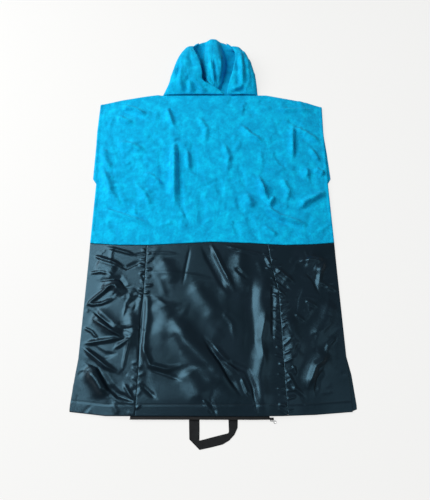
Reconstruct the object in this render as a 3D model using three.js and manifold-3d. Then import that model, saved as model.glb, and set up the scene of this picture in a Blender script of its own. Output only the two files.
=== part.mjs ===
// Hooded changing robe, laid flat on its back with the hood open upwards.
// Millimetres. The pieces are drawn in the garment's own frame: x across (0 on the centre line),
// y along (0 at the hem, hood at the far end) and z up from the surface it lies on.
// The last group moves that frame so that the bottom centre of the whole robe is the origin.
import * as THREE from "three";
import { mergeVertices } from "three/addons/utils/BufferGeometryUtils.js";
import Module from "manifold-3d";

const wasm = await Module();
wasm.setup();

// ---------------------------------------------------------------- sizes

const SEAM_GAP = 0.3; // air kept between neighbouring pieces
const TERRY = 3; // wall of the towelling
const COATED = 1.5; // wall of the coated cloth
const WEBBING = 1.8; // wall of the handle's webbing

const WAIST = 522; // seam between towelling and coated cloth
const NECKLINE = 1108; // straight neckline, front and back
const NECK = { left: -185, right: 200 };
const CENTRE = { x: 3, y: 623 }; // of the laid-out robe, handle and hood included

// Heights of the front layer's underside.
const UPPER_LIFT = TERRY + SEAM_GAP; // resting on the back's towelling
const LOWER_LIFT = COATED + SEAM_GAP; // resting on the back's coated cloth
const LOFT = 3.5; // how far air and bulk lift the middle of the front
const LOFT_REACH = 90; // distance from a side in which that lift builds up

const ZIP = {
  start: -230,
  end: 166,
  tuck: 6, // tape under the hem
  reach: 6, // tape in front of the hem
  chain: 2.5, // depth of the closed chain
  underside: 3.9,
  tape: { low: 4.9, high: 6.1 },
  top: 8.1,
};
const HEM_RISE = { height: 4.7, level: 35, run: 100, fade: 60 }; // the zip holds the middle of the hem up

// ---------------------------------------------------------------- looks

const cloth = (color, roughness) =>
  new THREE.MeshStandardMaterial({ color, roughness, metalness: 0, flatShading: true });

const LOOK = {
  terry: cloth(0x0aa6d8, 0.95),
  coated: cloth(0x1b2b38, 0.45),
  webbing: cloth(0x16191c, 0.85),
  zip: cloth(0x101214, 0.6),
  slider: new THREE.MeshStandardMaterial({ color: 0x1a1c1e, roughness: 0.4, metalness: 0.6 }),
  pull: new THREE.MeshStandardMaterial({ color: 0xc4c8cc, roughness: 0.25, metalness: 1 }),
};

// ---------------------------------------------------------------- small helpers

const { clamp, lerp, smoothstep } = THREE.MathUtils;

/** The value of column `column` at `at` along column `key`, straight between the table's rows. */
function lookUp(table, key, column, at) {
  const next = table.findIndex((row) => row[key] >= at);
  if (next === 0) return table[0][column];
  if (next < 0) return table[table.length - 1][column];
  const low = table[next - 1];
  const high = table[next];
  return lerp(low[column], high[column], (at - low[key]) / (high[key] - low[key]));
}

/** A closed wall between two grids of points, `skinA` outside and `skinB` inside. */
function wallBetween(skinA, skinB) {
  const rows = skinA.length;
  const columns = skinA[0].length;
  const positions = [...skinA.flat(), ...skinB.flat()].flatMap((p) => [p.x, p.y, p.z]);
  const index = [];
  const a = (i, j) => i * columns + j;
  const b = (i, j) => rows * columns + i * columns + j;
  const quad = (p, q, r, s) => index.push(p, q, r, p, r, s);
  for (let i = 0; i < rows - 1; i++) {
    for (let j = 0; j < columns - 1; j++) {
      quad(a(i, j), a(i, j + 1), a(i + 1, j + 1), a(i + 1, j));
      quad(b(i, j), b(i + 1, j), b(i + 1, j + 1), b(i, j + 1));
    }
  }
  for (let j = 0; j < columns - 1; j++) {
    quad(a(0, j), b(0, j), b(0, j + 1), a(0, j + 1));
    quad(a(rows - 1, j), a(rows - 1, j + 1), b(rows - 1, j + 1), b(rows - 1, j));
  }
  for (let i = 0; i < rows - 1; i++) {
    quad(a(i, 0), a(i + 1, 0), b(i + 1, 0), b(i, 0));
    quad(a(i, columns - 1), b(i, columns - 1), b(i + 1, columns - 1), a(i + 1, columns - 1));
  }
  const geometry = new THREE.BufferGeometry();
  geometry.setAttribute("position", new THREE.Float32BufferAttribute(positions, 3));
  geometry.setIndex(index);
  geometry.computeVertexNormals();
  return geometry;
}

/** A node: one named mesh. */
function node(name, geometry, material) {
  const mesh = new THREE.Mesh(geometry, material);
  mesh.name = name;
  return mesh;
}

/** A three.js geometry as a manifold solid. */
function solidFrom(geometry) {
  const bare = geometry.clone();
  bare.deleteAttribute("normal");
  bare.deleteAttribute("uv");
  const merged = mergeVertices(bare, 1e-4);
  return new wasm.Manifold(
    new wasm.Mesh({
      numProp: 3,
      vertProperties: merged.attributes.position.array,
      triVerts: new Uint32Array(merged.index.array),
    }),
  );
}

/** Several overlapping geometries joined into one. */
function joined(geometries) {
  const mesh = geometries
    .map(solidFrom)
    .reduce((whole, piece) => whole.add(piece))
    .getMesh();
  const geometry = new THREE.BufferGeometry();
  geometry.setAttribute("position", new THREE.BufferAttribute(mesh.vertProperties, 3));
  geometry.setIndex(new THREE.BufferAttribute(mesh.triVerts, 1));
  return geometry;
}

/** A box from its lowest and highest corners. */
function boxFrom(low, high) {
  const size = new THREE.Vector3().subVectors(high, low);
  const middle = new THREE.Vector3().addVectors(high, low).multiplyScalar(0.5);
  return new THREE.BoxGeometry(size.x, size.y, size.z).translate(middle.x, middle.y, middle.z);
}

// ---------------------------------------------------------------- outlines

// Side edges of the front layer: x on the left and on the right at each y.
const FRONT_SIDES = [
  { y: -20, left: -405, right: 404 },
  { y: 80, left: -402, right: 404 },
  { y: 120, left: -395, right: 402 },
  { y: 400, left: -395, right: 400 },
  { y: 740, left: -396, right: 398 },
  { y: 760, left: -405, right: 400 },
  { y: 950, left: -412, right: 400 },
  { y: 1080, left: -410, right: 404 },
];

// The back layer shows past the front at the open side vents and along the armholes.
const BACK_SIDES = [
  { y: -20, left: -405, right: 415 },
  { y: 25, left: -406, right: 418 },
  { y: 110, left: -400, right: 412 },
  { y: 165, left: -395, right: 402 },
  { y: 400, left: -395, right: 400 },
  { y: 740, left: -396, right: 398 },
  { y: 760, left: -410, right: 410 },
  { y: 860, left: -411, right: 406 },
  { y: 950, left: -412, right: 400 },
  { y: 1080, left: -410, right: 404 },
];

// Shoulders and neckline: y of the top edge at each x.
const SHOULDERS = [
  { x: -420, y: 1065 },
  { x: -335, y: 1085 },
  { x: -245, y: 1103 },
  { x: -200, y: 1110 },
  { x: NECK.left, y: NECKLINE },
  { x: NECK.right, y: NECKLINE },
  { x: 215, y: 1105 },
  { x: 260, y: 1095 },
  { x: 350, y: 1075 },
  { x: 420, y: 1050 },
];

// The waist seam and the hem droop a little, unevenly.
const WAIST_SEAM = [
  { x: -395, y: WAIST },
  { x: -300, y: WAIST - 7 },
  { x: -200, y: WAIST - 7 },
  { x: 0, y: WAIST + 4 },
  { x: 125, y: WAIST },
  { x: 235, y: WAIST - 7 },
  { x: 320, y: WAIST - 5 },
  { x: 400, y: WAIST + 2 },
];

const HEM = [
  { x: -405, front: 8, back: 10 },
  { x: -300, front: -3, back: 3 },
  { x: 120, front: -4, back: 2 },
  { x: 200, front: -3, back: 3 },
  { x: 295, front: 0, back: 4 },
  { x: 405, front: 8, back: 10 },
  { x: 420, front: 10, back: 16 },
];

// Seams between the three lower front panels: x at each y.
const LOWER_SEAMS = [
  { y: -20, left: -216, right: 218 },
  { y: 150, left: -215, right: 214 },
  { y: 270, left: -217, right: 212 },
  { y: 360, left: -212, right: 210 },
  { y: 435, left: -211, right: 194 },
  { y: 530, left: -210, right: 180 },
];

const shoulderAt = (x) => lookUp(SHOULDERS, "x", "y", x);
const waistAt = (x) => lookUp(WAIST_SEAM, "x", "y", x);
const hemAt = (x) => lookUp(HEM, "x", "front", x);
const backHemAt = (x) => lookUp(HEM, "x", "back", x);

// ---------------------------------------------------------------- folds of the front layer

// Each row is a straight stretch of one fold, from (x0, y0) to (x1, y1), with its half width
// and its height: a ridge is positive and a trough negative.
const FOLDS = [
  // towelling, left of the centre line
  { x0: -135, y0: 900, x1: -125, y1: 665, width: 17, height: 11 },
  { x0: -105, y0: 890, x1: -100, y1: 640, width: 15, height: -3 },
  { x0: -380, y0: 800, x1: -340, y1: 710, width: 18, height: 7 },
  { x0: -340, y0: 710, x1: -270, y1: 650, width: 18, height: 7 },
  { x0: -330, y0: 1045, x1: -235, y1: 1005, width: 17, height: 6 },
  { x0: -235, y0: 775, x1: -180, y1: 745, width: 15, height: 5 },
  { x0: -165, y0: 1050, x1: -140, y1: 975, width: 15, height: 5 },
  // towelling, right of the centre line
  { x0: 100, y0: 975, x1: 185, y1: 900, width: 16, height: 5 },
  { x0: 290, y0: 970, x1: 280, y1: 840, width: 17, height: 7 },
  { x0: 305, y0: 960, x1: 370, y1: 915, width: 15, height: 5 },
  { x0: 165, y0: 765, x1: 190, y1: 670, width: 15, height: 6 },
  { x0: 290, y0: 650, x1: 380, y1: 700, width: 17, height: 6 },
  { x0: 185, y0: 640, x1: 300, y1: 585, width: 16, height: 5 },
  // coated cloth, left panel
  { x0: -370, y0: 475, x1: -275, y1: 435, width: 17, height: 8 },
  { x0: -380, y0: 325, x1: -310, y1: 385, width: 17, height: 8 },
  { x0: -360, y0: 270, x1: -265, y1: 215, width: 17, height: 9 },
  { x0: -370, y0: 190, x1: -275, y1: 120, width: 17, height: 8 },
  { x0: -350, y0: 110, x1: -300, y1: 50, width: 17, height: 7 },
  // coated cloth, centre panel
  { x0: 0, y0: 500, x1: 35, y1: 435, width: 16, height: 8 },
  { x0: 35, y0: 435, x1: 70, y1: 370, width: 16, height: 8 },
  { x0: 170, y0: 405, x1: 160, y1: 240, width: 17, height: 9 },
  { x0: -95, y0: 215, x1: 0, y1: 135, width: 22, height: 12 },
  { x0: 0, y0: 135, x1: 60, y1: 50, width: 20, height: 11 },
  { x0: 90, y0: 150, x1: 110, y1: 45, width: 14, height: 6 },
  { x0: 135, y0: 160, x1: 150, y1: 20, width: 17, height: 9 },
  { x0: -200, y0: 200, x1: -110, y1: 130, width: 17, height: 7 },
  { x0: -190, y0: 420, x1: 0, y1: 400, width: 14, height: 4 },
  // coated cloth, right panel
  { x0: 210, y0: 435, x1: 260, y1: 390, width: 16, height: 7 },
  { x0: 290, y0: 455, x1: 345, y1: 435, width: 18, height: 7 },
  { x0: 345, y0: 435, x1: 335, y1: 370, width: 16, height: 5 },
  { x0: 340, y0: 160, x1: 300, y1: 100, width: 17, height: 8 },
  { x0: 230, y0: 115, x1: 260, y1: 50, width: 15, height: 6 },
];

/** Height that one fold adds at (x, y): a rounded bell across, fading at both ends. */
function foldHeight(fold, x, y) {
  const run = new THREE.Vector2(fold.x1 - fold.x0, fold.y1 - fold.y0);
  const from = new THREE.Vector2(x - fold.x0, y - fold.y0);
  const along = clamp(from.dot(run) / run.lengthSq(), 0, 1);
  const away = from.sub(run.multiplyScalar(along)).length();
  return fold.height * Math.exp(-((away / fold.width) ** 2));
}

/** Height of the front layer's underside. */
function frontUnderside(x, y) {
  const side = Math.min(x - lookUp(FRONT_SIDES, "y", "left", y), lookUp(FRONT_SIDES, "y", "right", y) - x);
  const inside = smoothstep(side, 0, LOFT_REACH);
  const folds = FOLDS.reduce((sum, fold) => sum + foldHeight(fold, x, y), 0);
  const { height, level, run, fade } = HEM_RISE;
  const fromEnd = Math.max(ZIP.start - x, x - ZIP.end);
  const zipHere = (1 - smoothstep(fromEnd, level, level + fade)) * (1 - smoothstep(y, level, run));
  const hem = height * zipHere;
  const rest = lerp(LOWER_LIFT, UPPER_LIFT, smoothstep(y, WAIST - 60, WAIST - 12));
  const free = inside * (LOFT * (1 - smoothstep(-y, -LOFT_REACH, 0)) + folds);
  return rest + Math.max(0, hem + free);
}

// ---------------------------------------------------------------- panels

/** Shares of a panel's width, 0 to 1: each span is cut evenly up to its end. */
function stations(...spans) {
  const shares = [0];
  for (const { to, columns } of spans) {
    const from = shares[shares.length - 1];
    for (let j = 1; j <= columns; j++) shares.push(lerp(from, to, j / columns));
  }
  return shares;
}

/** A flat-lying panel: a wall between its four edges, standing on `underside`. */
function panel({ left, right, bottom, top, across, rows, wall, underside }) {
  const middle = (left(WAIST) + right(WAIST)) / 2;
  const low = [];
  const high = [];
  for (let i = 0; i <= rows; i++) {
    low.push([]);
    high.push([]);
    for (const share of across) {
      let y = lerp(bottom(middle), top(middle), i / rows);
      let x = lerp(left(y), right(y), share);
      y = lerp(bottom(x), top(x), i / rows);
      x = lerp(left(y), right(y), share);
      const z = underside(x, y);
      low[i].push(new THREE.Vector3(x, y, z));
      high[i].push(new THREE.Vector3(x, y, z + wall));
    }
  }
  return wallBetween(high, low);
}

const flat = () => 0;
const sideOf = (table, column, inset = 0) => (y) => lookUp(table, "y", column, y) + inset;
const HALF_GAP = SEAM_GAP / 2;

const sideLength = (table, y) => [lookUp(table, "y", "left", y), lookUp(table, "y", "right", y)];

/** The share of the width at which x lies, at one y. */
function shareAt(table, y, x) {
  const [left, right] = sideLength(table, y);
  return (x - left) / (right - left);
}

// Columns that the panels on both sides of the waist seam have in common.
const NECK_L = shareAt(FRONT_SIDES, NECKLINE, NECK.left);
const NECK_R = shareAt(FRONT_SIDES, NECKLINE, NECK.right);
const SEAM_L = shareAt(FRONT_SIDES, WAIST, lookUp(LOWER_SEAMS, "y", "left", WAIST));
const SEAM_R = shareAt(FRONT_SIDES, WAIST, lookUp(LOWER_SEAMS, "y", "right", WAIST));
const COLUMNS = { side: 7, middle: 15 };

const FRONT_ACROSS = stations(
  { to: SEAM_L, columns: COLUMNS.side },
  { to: NECK_L, columns: 1 },
  { to: SEAM_R, columns: COLUMNS.middle },
  { to: NECK_R, columns: 1 },
  { to: 1, columns: COLUMNS.side },
);
const BACK_ACROSS = stations({ to: NECK_L, columns: 5 }, { to: NECK_R, columns: 6 }, { to: 1, columns: 5 });
const LEFT_ACROSS = stations({ to: 1, columns: COLUMNS.side });
const CENTRE_ACROSS = stations(
  { to: (NECK_L - SEAM_L) / (SEAM_R - SEAM_L), columns: 1 },
  { to: 1, columns: COLUMNS.middle },
);
const RIGHT_ACROSS = stations(
  { to: (NECK_R - SEAM_R) / (1 - SEAM_R), columns: 1 },
  { to: 1, columns: COLUMNS.side },
);

const frontUpper = () =>
  panel({
    left: sideOf(FRONT_SIDES, "left"),
    right: sideOf(FRONT_SIDES, "right"),
    bottom: (x) => waistAt(x) + HALF_GAP,
    top: shoulderAt,
    across: FRONT_ACROSS,
    rows: 19,
    wall: TERRY,
    underside: frontUnderside,
  });

const backUpper = () =>
  panel({
    left: sideOf(BACK_SIDES, "left"),
    right: sideOf(BACK_SIDES, "right"),
    bottom: (x) => waistAt(x) + HALF_GAP,
    top: shoulderAt,
    across: BACK_ACROSS,
    rows: 8,
    wall: TERRY,
    underside: flat,
  });

const backLower = () =>
  panel({
    left: sideOf(BACK_SIDES, "left"),
    right: sideOf(BACK_SIDES, "right"),
    bottom: backHemAt,
    top: (x) => waistAt(x) - HALF_GAP,
    across: BACK_ACROSS,
    rows: 7,
    wall: COATED,
    underside: flat,
  });

const frontLower = (left, right, across) =>
  panel({
    left,
    right,
    bottom: hemAt,
    top: (x) => waistAt(x) - HALF_GAP,
    across,
    rows: 16,
    wall: COATED,
    underside: frontUnderside,
  });

// ---------------------------------------------------------------- hood

// Cross sections of the hood, from the neckline to the crown. `up` is the distance from the
// neckline. On each side: `edge` is the silhouette, `lobe` the height of the side that folds
// over, `rim` and `rimZ` the face opening's edge. In the middle the crown seam stands up as a
// tongue: `tongueL` and `tongueR` are its flanks, `seam` and `seamZ` its top, and `floor` is
// how high the cloth on either side of it lies.
const HOOD = [
  { up: 0, edgeL: -180, lobeL: 15, rimL: 45, rimZL: 15, edgeR: 168, lobeR: 15, rimR: 55, rimZR: 15,
    tongueL: -14, tongueR: 22, seam: 4, seamZ: 2, floor: 0 },
  { up: 20, edgeL: -170, lobeL: 28, rimL: 18, rimZL: 26, edgeR: 166, lobeR: 28, rimR: 58, rimZR: 26,
    tongueL: -14, tongueR: 24, seam: 4, seamZ: 6, floor: 0 },
  { up: 40, edgeL: -160, lobeL: 42, rimL: -28, rimZL: 38, edgeR: 164, lobeR: 40, rimR: 64, rimZR: 38,
    tongueL: -18, tongueR: 30, seam: 4, seamZ: 20, floor: 0 },
  { up: 70, edgeL: -152, lobeL: 54, rimL: -36, rimZL: 50, edgeR: 160, lobeR: 52, rimR: 74, rimZR: 50,
    tongueL: -24, tongueR: 36, seam: 2, seamZ: 36, floor: 0 },
  { up: 100, edgeL: -143, lobeL: 60, rimL: -42, rimZL: 56, edgeR: 153, lobeR: 57, rimR: 80, rimZR: 54,
    tongueL: -28, tongueR: 42, seam: 1, seamZ: 45, floor: 0 },
  { up: 130, edgeL: -134, lobeL: 62, rimL: -50, rimZL: 58, edgeR: 143, lobeR: 58, rimR: 86, rimZR: 55,
    tongueL: -31, tongueR: 46, seam: 1, seamZ: 50, floor: 0 },
  { up: 160, edgeL: -121, lobeL: 58, rimL: -62, rimZL: 55, edgeR: 131, lobeR: 54, rimR: 85, rimZR: 52,
    tongueL: -31, tongueR: 45, seam: 2, seamZ: 52, floor: 1 },
  { up: 185, edgeL: -105, lobeL: 50, rimL: -70, rimZL: 48, edgeR: 113, lobeR: 48, rimR: 78, rimZR: 47,
    tongueL: -27, tongueR: 38, seam: 3, seamZ: 51, floor: 10 },
  { up: 210, edgeL: -84, lobeL: 44, rimL: -64, rimZL: 42, edgeR: 92, lobeR: 44, rimR: 68, rimZR: 42,
    tongueL: -20, tongueR: 30, seam: 4, seamZ: 49, floor: 25 },
  { up: 229, edgeL: -62, lobeL: 41, rimL: -50, rimZL: 40, edgeR: 66, lobeR: 42, rimR: 54, rimZR: 41,
    tongueL: -14, tongueR: 22, seam: 5, seamZ: 47, floor: 35 },
];
const HOOD_SHEET = { rows: 12, columns: 18 }; // of each half
const CROWN = { drop: 18, half: 60, from: 190 }; // the crown's arch: how far its sides fall back
const UNDER_EDGE = 16; // how far inside the silhouette the cloth lifts off the surface

/** One hood section's row at `up`, with every column eased between the table's rows. */
function hoodRow(up) {
  return Object.fromEntries(Object.keys(HOOD[0]).map((column) => [column, lookUp(HOOD, "up", column, up)]));
}

/** Half a section as a curve from the rim, over the side and along the floor, up to the crown seam. */
function halfSection(side, row) {
  const { edge, lobe, rim, rimZ, tongue } = side;
  const out = Math.sign(edge);
  const floor = row.floor + TERRY / 2;
  const seamZ = Math.max(row.seamZ, floor);
  const under = edge - out * Math.min(UNDER_EDGE, Math.abs(edge - tongue) * 0.3);
  const foot = tongue + out * Math.min(9, Math.abs(edge - tongue) * 0.25);
  const corners = [
    [rim, rimZ],
    [lerp(rim, edge, 0.5), lobe],
    [lerp(rim, edge, 0.86), lerp(floor, lobe, 0.86)],
    [edge, lerp(floor, lobe, 0.45)],
    [under, floor],
    [lerp(under, foot, 0.5), floor],
    [foot, floor],
    [tongue, lerp(floor, seamZ, 0.45)],
    [lerp(tongue, row.seam, 0.45), lerp(floor, seamZ, 0.93)],
    [row.seam, seamZ],
  ];
  const curve = new THREE.CatmullRomCurve3(corners.map(([x, z]) => new THREE.Vector3(x, 0, z)), false, "centripetal");
  return curve.getPoints(HOOD_SHEET.columns);
}

/** The hood's middle surface: rows from neckline to crown, each from the left rim to the right one. */
function hoodSurface() {
  const crown = HOOD[HOOD.length - 1].up;
  return Array.from({ length: HOOD_SHEET.rows + 1 }, (_, i) => {
    const up = (crown * i) / HOOD_SHEET.rows;
    const row = hoodRow(up);
    const left = halfSection({ edge: row.edgeL, lobe: row.lobeL, rim: row.rimL, rimZ: row.rimZL, tongue: row.tongueL }, row);
    const right = halfSection({ edge: row.edgeR, lobe: row.lobeR, rim: row.rimR, rimZ: row.rimZR, tongue: row.tongueR }, row);
    const arch = CROWN.drop * smoothstep(up, CROWN.from, crown);
    return [...left, ...right.reverse().slice(1)].map((p) => {
      const y = NECKLINE + SEAM_GAP + up - arch * (p.x / CROWN.half) ** 2;
      return new THREE.Vector3(p.x, y, Math.max(p.z, TERRY / 2));
    });
  });
}

/** Unit normals of a grid of points. */
function gridNormals(points) {
  const last = (list) => list.length - 1;
  return points.map((row, i) =>
    row.map((_, j) => {
      const along = new THREE.Vector3().subVectors(row[Math.min(j + 1, last(row))], row[Math.max(j - 1, 0)]);
      const up = new THREE.Vector3().subVectors(
        points[Math.min(i + 1, last(points))][j],
        points[Math.max(i - 1, 0)][j],
      );
      return along.cross(up).normalize();
    }),
  );
}

/** One half of the hood, `half` being -1 for the left and 1 for the right. */
function hoodHalf(half) {
  const surface = hoodSurface();
  const normals = gridNormals(surface);
  const seam = HOOD_SHEET.columns;
  const pick = (row) => (half < 0 ? row.slice(0, seam + 1) : row.slice(seam));
  const shifted = (reach) =>
    surface.map((row, i) =>
      pick(row.map((p, j) => {
        const moved = p.clone().addScaledVector(normals[i][j], reach);
        moved.y = Math.max(moved.y, NECKLINE + SEAM_GAP);
        if (i === 0) moved.y = NECKLINE + SEAM_GAP;
        if (j === seam) moved.x = p.x + half * HALF_GAP;
        moved.z = Math.max(moved.z, 0);
        return moved;
      })),
    );
  return wallBetween(shifted(TERRY / 2), shifted(-TERRY / 2));
}

// ---------------------------------------------------------------- handle

// The webbing's two edges along its length, and the height of its underside: it comes out from
// between the hems, drops to the surface and turns back.
const HANDLE = [
  { innerX: -33, innerY: 32, outerX: -63, outerY: 32, z: LOWER_LIFT },
  { innerX: -33, innerY: 0, outerX: -63, outerY: 0, z: LOWER_LIFT },
  { innerX: -33, innerY: -12, outerX: -63, outerY: -12, z: 0 },
  { innerX: -32.5, innerY: -40, outerX: -62, outerY: -40, z: 0 },
  { innerX: -32.5, innerY: -66, outerX: -61, outerY: -64, z: 0 },
  { innerX: -32.2, innerY: -66.6, outerX: -47, outerY: -77, z: 0 },
  { innerX: -31.6, innerY: -66.8, outerX: -32, outerY: -91, z: 0 },
  { innerX: 0, innerY: -59, outerX: 1, outerY: -84.5, z: 0 },
  { innerX: 32, innerY: -51.5, outerX: 33, outerY: -77, z: 0 },
  { innerX: 46, innerY: -48.5, outerX: 51, outerY: -67, z: 0 },
  { innerX: 49.5, innerY: -46, outerX: 66, outerY: -52, z: 0 },
  { innerX: 50, innerY: -41, outerX: 75, outerY: -34, z: 0 },
  { innerX: 49, innerY: -12, outerX: 76, outerY: -12, z: 0 },
  { innerX: 48.5, innerY: 0, outerX: 76, outerY: 0, z: LOWER_LIFT },
  { innerX: 48.5, innerY: 32, outerX: 76, outerY: 32, z: LOWER_LIFT },
];

function carryHandle() {
  const edges = (lift) =>
    HANDLE.map((row) => [
      new THREE.Vector3(row.innerX, row.innerY, row.z + lift),
      new THREE.Vector3(row.outerX, row.outerY, row.z + lift),
    ]);
  return wallBetween(edges(WEBBING), edges(0));
}

// ---------------------------------------------------------------- zip

/** The zip's section, a tape with the closed chain on its edge, run along the front hem. */
function hemZip() {
  const steps = 18;
  const front = -ZIP.reach - ZIP.chain;
  const above = [
    [front, ZIP.top],
    [-ZIP.reach, ZIP.top],
    [-ZIP.reach, ZIP.tape.high],
    [ZIP.tuck, ZIP.tape.high],
  ];
  const below = [
    [front, ZIP.underside],
    [-ZIP.reach, ZIP.underside],
    [-ZIP.reach, ZIP.tape.low],
    [ZIP.tuck, ZIP.tape.low],
  ];
  const along = (section) =>
    section.map(([y, z]) =>
      Array.from({ length: steps + 1 }, (_, i) => {
        const x = lerp(ZIP.start, ZIP.end, i / steps);
        return new THREE.Vector3(x, hemAt(x) + y, z);
      }),
    );
  return wallBetween(along(above), along(below));
}

const SLIDER = { length: 11, depth: 7, low: 1.9, high: 8.1, nose: 0.62, arch: 3.2, bar: 1.4 };
const SLIDER_X = ZIP.end + SEAM_GAP; // the slider closes the chain's end
const SLIDER_FACE = hemAt(SLIDER_X) - ZIP.reach - ZIP.chain - 1.8; // y of its front plate
const PIVOT = new THREE.Vector3(SLIDER_X + SLIDER.length / 2, SLIDER_FACE - 1.3, 5);

/** The slider: a wedge, wide where the two rows of teeth would part, with the pull's arch on it. */
function zipSlider() {
  const middle = (SLIDER.low + SLIDER.high) / 2;
  const half = (SLIDER.high - SLIDER.low) / 2;
  const wedge = new THREE.Shape([
    new THREE.Vector2(0, middle - half * SLIDER.nose),
    new THREE.Vector2(SLIDER.length * 0.55, middle - half),
    new THREE.Vector2(SLIDER.length, middle - half),
    new THREE.Vector2(SLIDER.length, middle + half),
    new THREE.Vector2(SLIDER.length * 0.55, middle + half),
    new THREE.Vector2(0, middle + half * SLIDER.nose),
  ]);
  const body = new THREE.ExtrudeGeometry(wedge, { depth: SLIDER.depth, bevelEnabled: false })
    .rotateX(Math.PI / 2)
    .translate(SLIDER_X, SLIDER_FACE + SLIDER.depth, 0);
  const archWidth = SLIDER.bar / 2;
  const outer = SLIDER_FACE - SLIDER.arch;
  const sink = 0.5; // how deep the arch's feet stand in the plate
  const foot = (x) =>
    boxFrom(
      new THREE.Vector3(x, outer, PIVOT.z - archWidth),
      new THREE.Vector3(x + SLIDER.bar, SLIDER_FACE + sink, PIVOT.z + archWidth),
    );
  const first = SLIDER_X + 1.2;
  const last = SLIDER_X + SLIDER.length - 1.2 - SLIDER.bar;
  const bar = boxFrom(
    new THREE.Vector3(first, outer, PIVOT.z - archWidth),
    new THREE.Vector3(last + SLIDER.bar, outer + 0.9, PIVOT.z + archWidth),
  );
  return joined([body, foot(first), foot(last), bar]);
}

const PULL = { wire: 1.1, arm: 6.2, span: 3.8, ring: 3.4, ringWire: 0.8, reach: 10, ringZ: 1.7, lean: -0.4 };

/** The pull: a stirrup round the arch's bar, a cranked neck and a round ring, laid to one side. */
function zipPull() {
  const r = PULL.wire / 2;
  const half = PULL.span / 2;
  const bar = (x0, x1, z0, z1) =>
    boxFrom(new THREE.Vector3(x0 - r, -r, z0 - r), new THREE.Vector3(x1 + r, r, z1 + r));
  const ringLift = PULL.ringZ - PIVOT.z;
  const ring = new THREE.TorusGeometry(PULL.ring, PULL.ringWire, 8, 24).translate(PULL.reach, 0, ringLift);
  return joined([
    bar(0, 0, -half, half),
    bar(0, PULL.arm, half, half),
    bar(0, PULL.arm, -half, -half),
    bar(PULL.arm, PULL.arm, ringLift, half),
    bar(PULL.arm, PULL.reach - PULL.ring, ringLift, ringLift),
    ring,
  ]);
}

// ---------------------------------------------------------------- the robe

const seamLeft = (inset) => sideOf(LOWER_SEAMS, "left", inset);
const seamRight = (inset) => sideOf(LOWER_SEAMS, "right", inset);

const garment = new THREE.Group();
garment.add(
  node("front_upper", frontUpper(), LOOK.terry),
  node("back_upper", backUpper(), LOOK.terry),
  node("hood_left", hoodHalf(-1), LOOK.terry),
  node("hood_right", hoodHalf(1), LOOK.terry),
  node("front_lower_left", frontLower(sideOf(FRONT_SIDES, "left"), seamLeft(-HALF_GAP), LEFT_ACROSS), LOOK.coated),
  node("front_lower_centre", frontLower(seamLeft(HALF_GAP), seamRight(-HALF_GAP), CENTRE_ACROSS), LOOK.coated),
  node("front_lower_right", frontLower(seamRight(HALF_GAP), sideOf(FRONT_SIDES, "right"), RIGHT_ACROSS), LOOK.coated),
  node("back_lower", backLower(), LOOK.coated),
  node("hem_zip", hemZip(), LOOK.zip),
  node("zip_slider", zipSlider(), LOOK.slider),
  node("carry_handle", carryHandle(), LOOK.webbing),
);

const pull = new THREE.Group(); // turns about the arch's upright axis
pull.position.copy(PIVOT);
pull.rotation.z = PULL.lean;
pull.add(node("zip_pull", zipPull(), LOOK.pull));
garment.add(pull);

garment.position.set(-CENTRE.x, -CENTRE.y, 0);

const robe = new THREE.Group();
robe.add(garment);

export default robe;
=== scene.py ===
"""Hooded changing robe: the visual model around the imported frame, its light and its camera.

Lengths are millimetres in the garment's own frame until a mesh is made: x runs across (0 on
the centre line), y along (0 at the hem, hood at the far end), z up from the surface.
"""
import logging
import math
from dataclasses import dataclass, field
from enum import Enum

import bpy
import numpy as np
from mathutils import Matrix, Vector


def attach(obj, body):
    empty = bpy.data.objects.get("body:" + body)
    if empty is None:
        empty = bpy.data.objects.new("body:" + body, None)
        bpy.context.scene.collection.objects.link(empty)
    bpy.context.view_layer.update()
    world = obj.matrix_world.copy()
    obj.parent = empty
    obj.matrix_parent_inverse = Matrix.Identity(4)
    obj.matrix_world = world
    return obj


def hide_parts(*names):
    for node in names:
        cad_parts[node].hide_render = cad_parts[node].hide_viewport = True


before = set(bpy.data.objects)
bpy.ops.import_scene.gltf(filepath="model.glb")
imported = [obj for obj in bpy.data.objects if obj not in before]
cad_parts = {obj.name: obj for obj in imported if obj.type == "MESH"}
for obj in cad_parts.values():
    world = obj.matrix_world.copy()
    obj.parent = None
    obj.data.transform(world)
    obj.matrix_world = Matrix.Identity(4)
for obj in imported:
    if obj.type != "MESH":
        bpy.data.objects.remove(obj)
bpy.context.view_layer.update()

log = logging.getLogger("robe")

MM = 0.001
CENTRE = (3.0, 623.0)  # the garment frame's x and y at the row's origin
SEAM_GAP = 0.3
TERRY = 3.0
COATED = 1.5
WEBBING = 1.8
WAIST = 522.0
NECKLINE = 1108.0
ZIP_SPAN = (-230.0, 166.0)
HEM_STEP = 2.5  # how far a hem's swell takes to rise
GROOVE_WIDTH = 1.6
BODY = "robe"
BACKDROP = (0.985, 0.985, 0.975, 1)  # what the camera sees of the room
FLOOR_PAINT = (0.70, 0.70, 0.69, 1)

Array = np.ndarray


class Cloth(Enum):
    """The two cloths, each named by its material."""

    TERRY = "towelling"
    COATED = "coated_cloth"


class Profile(Enum):
    """How a crease is shaped across its line."""

    ROLL = "soft round roll"
    TENT = "sharp line with two even sides"
    KNIFE = "sharp line, steep on its right and gentle on its left"


# ------------------------------------------------------------------ outlines

@dataclass(frozen=True)
class Edge:
    """A line given by a short table: one coordinate worked out from the other."""

    rows: tuple[tuple[float, float], ...]

    def __call__(self, at: Array) -> Array:
        """The edge's other coordinate at `at`."""
        keys, values = zip(*self.rows)
        return np.interp(at, keys, values)

    def moved(self, by: float) -> "Edge":
        """The same edge, moved sideways by `by`."""
        return Edge(tuple((key, value + by) for key, value in self.rows))


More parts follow.
